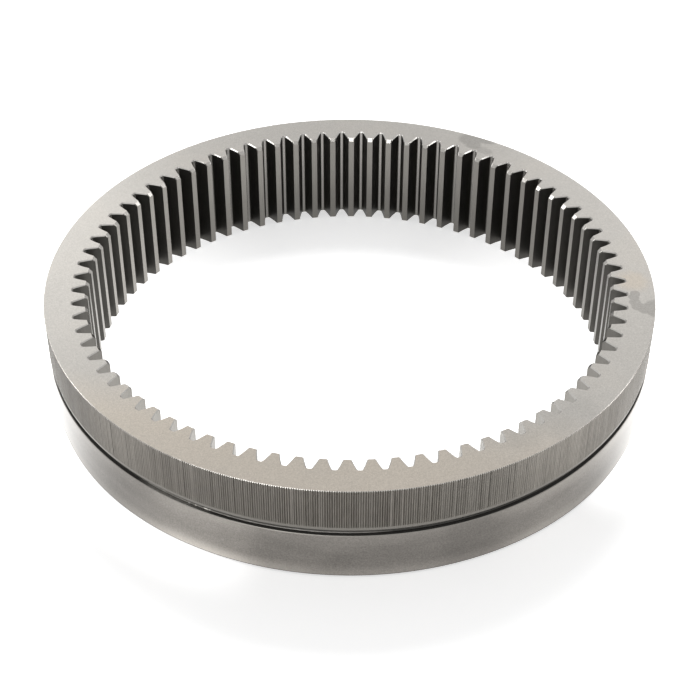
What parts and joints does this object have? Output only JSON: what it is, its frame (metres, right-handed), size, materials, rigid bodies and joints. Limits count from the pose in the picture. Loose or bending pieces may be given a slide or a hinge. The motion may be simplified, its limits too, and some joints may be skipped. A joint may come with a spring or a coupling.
{
  "type": "internal ring gear",
  "caption": "Steel internal ring gear: straight spur teeth round the bore, and outside a serrated press-fit band above a smooth pilot band, with a groove between them.",
  "frame": {"origin": "on the gear's axis, in the plane of the lower face, below the smooth pilot band", "axes": "+Z along the gear's axis from the pilot band to the serrated band, +X through the middle of a tooth gap"},
  "size_m": [0.31, 0.31, 0.0545],
  "materials": {
    "gear_steel": "satin, fine turned and shaped"
  },
  "bodies": {
    "root": {"ring_gear": "gear_steel"}
  },
  "joints": []
}
